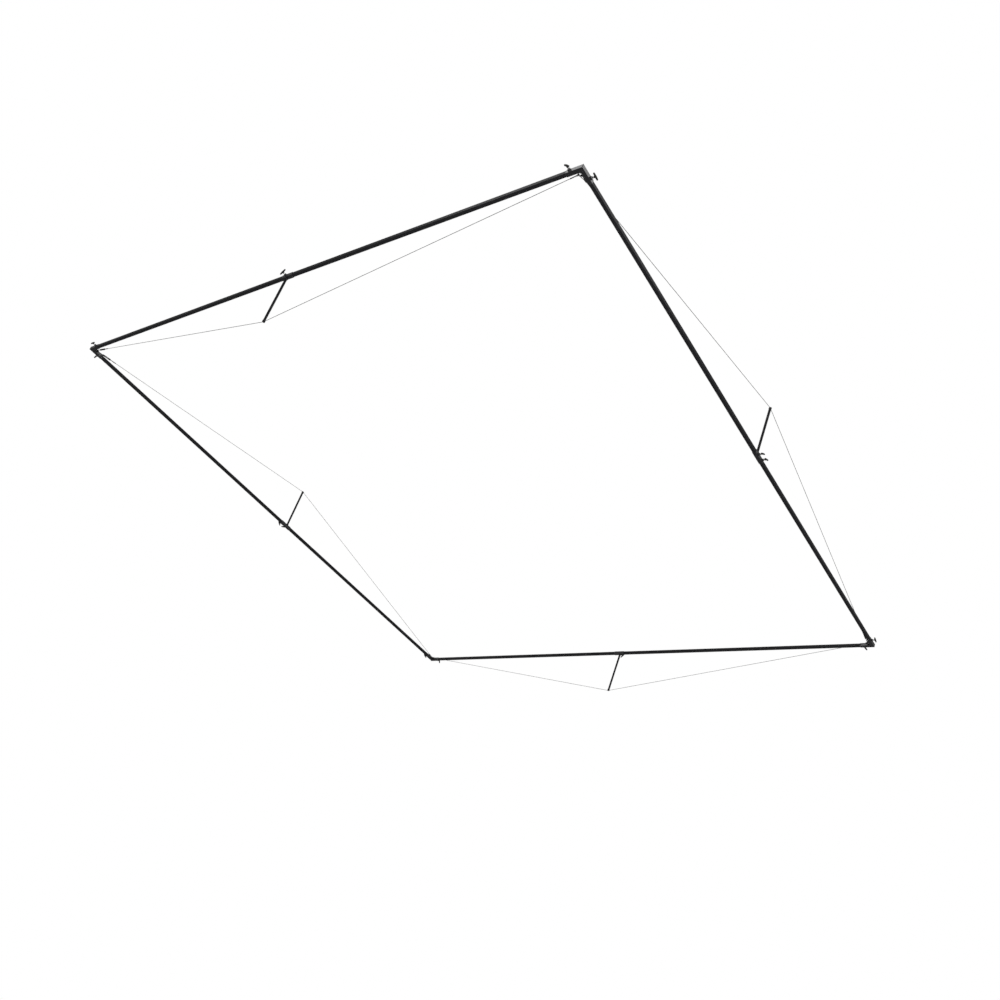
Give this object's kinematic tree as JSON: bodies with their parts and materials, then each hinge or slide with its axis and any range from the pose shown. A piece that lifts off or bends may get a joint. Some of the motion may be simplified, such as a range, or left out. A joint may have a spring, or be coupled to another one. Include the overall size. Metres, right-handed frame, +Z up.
{
  "type": "overhead scrim frame",
  "caption": "Large square overhead scrim frame of black square tube, with clamped corner elbows, mid-side joiners, and struts with taut wire stays that brace each side.",
  "frame": {"origin": "centre of the square, in the plane of the tubes' axes", "axes": "+Z up through the square, square to its plane; +X to the right side, which a stand holds, and +Y to the far side"},
  "size_m": [6.1958, 6.1958, 1.0438],
  "materials": {
    "side_tube": "black anodised, satin",
    "sleeve": "black powder coat, fine texture",
    "rivet": "black anodised",
    "strut": "black anodised, satin",
    "saddle": "moulded nylon",
    "wire_rope": "black oxide strands",
    "turnbuckle": "blackened, worn at the edges",
    "fitting": "dark zinc",
    "eye": "forged, dark zinc",
    "clamp_screw": "zinc plated thread",
    "t_handle": "moulded glass-filled nylon"
  },
  "bodies": {
    "frame": {"corner_elbow_far_left": "sleeve", "corner_elbow_far_right": "sleeve", "corner_elbow_near_left": "sleeve", "corner_elbow_near_right": "sleeve", "corner_eyes": "eye", "joiner_far": "sleeve", "joiner_left": "sleeve", "joiner_near": "sleeve", "joiner_right": "sleeve", "joiner_rivets": "rivet", "stay_fittings": "fitting", "stay_rope_far": "wire_rope", "stay_rope_left": "wire_rope", "stay_rope_near": "wire_rope", "stay_rope_right": "wire_rope", "strut_far": "strut", "strut_left": "strut", "strut_near": "strut", "strut_right": "strut", "strut_saddles": "saddle", "tube_far_fixed": "side_tube", "tube_far_plain": "side_tube", "tube_left_fixed": "side_tube", "tube_left_plain": "side_tube", "tube_near_fixed": "side_tube", "tube_near_plain": "side_tube", "tube_right_fixed": "side_tube", "tube_right_plain": "side_tube"},
    "clamp_screw_near_start": {"clamp_screw_near_start": "clamp_screw"},
    "t_handle_near_start": {"t_handle_near_start": "t_handle"},
    "clamp_screw_near_mid": {"clamp_screw_near_mid": "clamp_screw"},
    "t_handle_near_mid": {"t_handle_near_mid": "t_handle"},
    "clamp_screw_near_end": {"clamp_screw_near_end": "clamp_screw"},
    "t_handle_near_end": {"t_handle_near_end": "t_handle"},
    "turnbuckle_near": {"turnbuckle_near": "turnbuckle"},
    "clamp_screw_right_start": {"clamp_screw_right_start": "clamp_screw"},
    "t_handle_right_start": {"t_handle_right_start": "t_handle"},
    "clamp_screw_right_mid": {"clamp_screw_right_mid": "clamp_screw"},
    "t_handle_right_mid": {"t_handle_right_mid": "t_handle"},
    "clamp_screw_right_stand": {"clamp_screw_right_stand": "clamp_screw"},
    "t_handle_right_stand": {"t_handle_right_stand": "t_handle"},
    "clamp_screw_right_end": {"clamp_screw_right_end": "clamp_screw"},
    "t_handle_right_end": {"t_handle_right_end": "t_handle"},
    "turnbuckle_right": {"turnbuckle_right": "turnbuckle"},
    "clamp_screw_far_start": {"clamp_screw_far_start": "clamp_screw"},
    "t_handle_far_start": {"t_handle_far_start": "t_handle"},
    "clamp_screw_far_mid": {"clamp_screw_far_mid": "clamp_screw"},
    "t_handle_far_mid": {"t_handle_far_mid": "t_handle"},
    "clamp_screw_far_end": {"clamp_screw_far_end": "clamp_screw"},
    "t_handle_far_end": {"t_handle_far_end": "t_handle"},
    "turnbuckle_far": {"turnbuckle_far": "turnbuckle"},
    "clamp_screw_left_start": {"clamp_screw_left_start": "clamp_screw"},
    "t_handle_left_start": {"t_handle_left_start": "t_handle"},
    "clamp_screw_left_mid": {"clamp_screw_left_mid": "clamp_screw"},
    "t_handle_left_mid": {"t_handle_left_mid": "t_handle"},
    "clamp_screw_left_stand": {"clamp_screw_left_stand": "clamp_screw"},
    "t_handle_left_stand": {"t_handle_left_stand": "t_handle"},
    "clamp_screw_left_end": {"clamp_screw_left_end": "clamp_screw"},
    "t_handle_left_end": {"t_handle_left_end": "t_handle"},
    "turnbuckle_left": {"turnbuckle_left": "turnbuckle"}
  },
  "joints": [
    {"name": "clamp_screw_near_start_travel", "type": "slide", "parent": "frame", "child": "clamp_screw_near_start", "axis": [0, -1, 0], "range_m": [0, 0.003]},
    {"name": "t_handle_near_start_turn", "type": "hinge", "parent": "clamp_screw_near_start", "child": "t_handle_near_start", "pos_m": [-2.9405, -3.0875, 0], "axis": [0, -1, 0], "range_deg": [0, 720]},
    {"name": "clamp_screw_near_mid_travel", "type": "slide", "parent": "frame", "child": "clamp_screw_near_mid", "axis": [0, -1, 0], "range_m": [0, 0.003]},
    {"name": "t_handle_near_mid_turn", "type": "hinge", "parent": "clamp_screw_near_mid", "child": "t_handle_near_mid", "pos_m": [0, -3.0875, 0], "axis": [0, -1, 0], "range_deg": [0, 720]},
    {"name": "clamp_screw_near_end_travel", "type": "slide", "parent": "frame", "child": "clamp_screw_near_end", "axis": [0, -1, 0], "range_m": [0, 0.003]},
    {"name": "t_handle_near_end_turn", "type": "hinge", "parent": "clamp_screw_near_end", "child": "t_handle_near_end", "pos_m": [2.9405, -3.0875, 0], "axis": [0, -1, 0], "range_deg": [0, 720]},
    {"name": "turnbuckle_near_turn", "type": "hinge", "parent": "frame", "child": "turnbuckle_near", "pos_m": [-2.87577, -2.99659, -0.0184], "axis": [0.9851, -0.0123, -0.1718], "range_deg": [-720, 180]},
    {"name": "clamp_screw_right_start_travel", "type": "slide", "parent": "frame", "child": "clamp_screw_right_start", "axis": [1, 0, 0], "range_m": [0, 0.003]},
    {"name": "t_handle_right_start_turn", "type": "hinge", "parent": "clamp_screw_right_start", "child": "t_handle_right_start", "pos_m": [3.0875, -2.9405, 0], "axis": [1, 0, 0], "range_deg": [0, 720]},
    {"name": "clamp_screw_right_mid_travel", "type": "slide", "parent": "frame", "child": "clamp_screw_right_mid", "axis": [1, 0, 0], "range_m": [0, 0.003]},
    {"name": "t_handle_right_mid_turn", "type": "hinge", "parent": "clamp_screw_right_mid", "child": "t_handle_right_mid", "pos_m": [3.0875, 0, 0], "axis": [1, 0, 0], "range_deg": [0, 720]},
    {"name": "clamp_screw_right_stand_travel", "type": "slide", "parent": "frame", "child": "clamp_screw_right_stand", "axis": [1, 0, 0], "range_m": [0, 0.003]},
    {"name": "t_handle_right_stand_turn", "type": "hinge", "parent": "clamp_screw_right_stand", "child": "t_handle_right_stand", "pos_m": [3.0875, 0.075, 0], "axis": [1, 0, 0], "range_deg": [0, 720]},
    {"name": "clamp_screw_right_end_travel", "type": "slide", "parent": "frame", "child": "clamp_screw_right_end", "axis": [1, 0, 0], "range_m": [0, 0.003]},
    {"name": "t_handle_right_end_turn", "type": "hinge", "parent": "clamp_screw_right_end", "child": "t_handle_right_end", "pos_m": [3.0875, 2.9405, 0], "axis": [1, 0, 0], "range_deg": [0, 720]},
    {"name": "turnbuckle_right_turn", "type": "hinge", "parent": "frame", "child": "turnbuckle_right", "pos_m": [2.99659, 2.87577, 0.0184], "axis": [0.0123, -0.9851, 0.1718], "range_deg": [-720, 180]},
    {"name": "clamp_screw_far_start_travel", "type": "slide", "parent": "frame", "child": "clamp_screw_far_start", "axis": [0, 1, 0], "range_m": [0, 0.003]},
    {"name": "t_handle_far_start_turn", "type": "hinge", "parent": "clamp_screw_far_start", "child": "t_handle_far_start", "pos_m": [2.9405, 3.0875, 0], "axis": [0, 1, 0], "range_deg": [0, 720]},
    {"name": "clamp_screw_far_mid_travel", "type": "slide", "parent": "frame", "child": "clamp_screw_far_mid", "axis": [0, 1, 0], "range_m": [0, 0.003]},
    {"name": "t_handle_far_mid_turn", "type": "hinge", "parent": "clamp_screw_far_mid", "child": "t_handle_far_mid", "pos_m": [0, 3.0875, 0], "axis": [0, 1, 0], "range_deg": [0, 720]},
    {"name": "clamp_screw_far_end_travel", "type": "slide", "parent": "frame", "child": "clamp_screw_far_end", "axis": [0, 1, 0], "range_m": [0, 0.003]},
    {"name": "t_handle_far_end_turn", "type": "hinge", "parent": "clamp_screw_far_end", "child": "t_handle_far_end", "pos_m": [-2.9405, 3.0875, 0], "axis": [0, 1, 0], "range_deg": [0, 720]},
    {"name": "turnbuckle_far_turn", "type": "hinge", "parent": "frame", "child": "turnbuckle_far", "pos_m": [2.87577, 2.99659, -0.0184], "axis": [-0.9851, 0.0123, -0.1718], "range_deg": [-720, 180]},
    {"name": "clamp_screw_left_start_travel", "type": "slide", "parent": "frame", "child": "clamp_screw_left_start", "axis": [-1, 0, 0], "range_m": [0, 0.003]},
    {"name": "t_handle_left_start_turn", "type": "hinge", "parent": "clamp_screw_left_start", "child": "t_handle_left_start", "pos_m": [-3.0875, 2.9405, 0], "axis": [-1, 0, 0], "range_deg": [0, 720]},
    {"name": "clamp_screw_left_mid_travel", "type": "slide", "parent": "frame", "child": "clamp_screw_left_mid", "axis": [-1, 0, 0], "range_m": [0, 0.003]},
    {"name": "t_handle_left_mid_turn", "type": "hinge", "parent": "clamp_screw_left_mid", "child": "t_handle_left_mid", "pos_m": [-3.0875, 0, 0], "axis": [-1, 0, 0], "range_deg": [0, 720]},
    {"name": "clamp_screw_left_stand_travel", "type": "slide", "parent": "frame", "child": "clamp_screw_left_stand", "axis": [-1, 0, 0], "range_m": [0, 0.003]},
    {"name": "t_handle_left_stand_turn", "type": "hinge", "parent": "clamp_screw_left_stand", "child": "t_handle_left_stand", "pos_m": [-3.0875, -0.075, 0], "axis": [-1, 0, 0], "range_deg": [0, 720]},
    {"name": "clamp_screw_left_end_travel", "type": "slide", "parent": "frame", "child": "clamp_screw_left_end", "axis": [-1, 0, 0], "range_m": [0, 0.003]},
    {"name": "t_handle_left_end_turn", "type": "hinge", "parent": "clamp_screw_left_end", "child": "t_handle_left_end", "pos_m": [-3.0875, -2.9405, 0], "axis": [-1, 0, 0], "range_deg": [0, 720]},
    {"name": "turnbuckle_left_turn", "type": "hinge", "parent": "frame", "child": "turnbuckle_left", "pos_m": [-2.99659, -2.87577, 0.0184], "axis": [-0.0123, 0.9851, 0.1718], "range_deg": [-720, 180]}
  ],
  "couplings": [
    {"joint": "t_handle_near_start_turn", "follows": "clamp_screw_near_start_travel", "rad_per_m": 4188.8},
    {"joint": "t_handle_near_mid_turn", "follows": "clamp_screw_near_mid_travel", "rad_per_m": 4188.8},
    {"joint": "t_handle_near_end_turn", "follows": "clamp_screw_near_end_travel", "rad_per_m": 4188.8},
    {"joint": "t_handle_right_start_turn", "follows": "clamp_screw_right_start_travel", "rad_per_m": 4188.8},
    {"joint": "t_handle_right_mid_turn", "follows": "clamp_screw_right_mid_travel", "rad_per_m": 4188.8},
    {"joint": "t_handle_right_stand_turn", "follows": "clamp_screw_right_stand_travel", "rad_per_m": 4188.8},
    {"joint": "t_handle_right_end_turn", "follows": "clamp_screw_right_end_travel", "rad_per_m": 4188.8},
    {"joint": "t_handle_far_start_turn", "follows": "clamp_screw_far_start_travel", "rad_per_m": 4188.8},
    {"joint": "t_handle_far_mid_turn", "follows": "clamp_screw_far_mid_travel", "rad_per_m": 4188.8},
    {"joint": "t_handle_far_end_turn", "follows": "clamp_screw_far_end_travel", "rad_per_m": 4188.8},
    {"joint": "t_handle_left_start_turn", "follows": "clamp_screw_left_start_travel", "rad_per_m": 4188.8},
    {"joint": "t_handle_left_mid_turn", "follows": "clamp_screw_left_mid_travel", "rad_per_m": 4188.8},
    {"joint": "t_handle_left_stand_turn", "follows": "clamp_screw_left_stand_travel", "rad_per_m": 4188.8},
    {"joint": "t_handle_left_end_turn", "follows": "clamp_screw_left_end_travel", "rad_per_m": 4188.8}
  ]
}
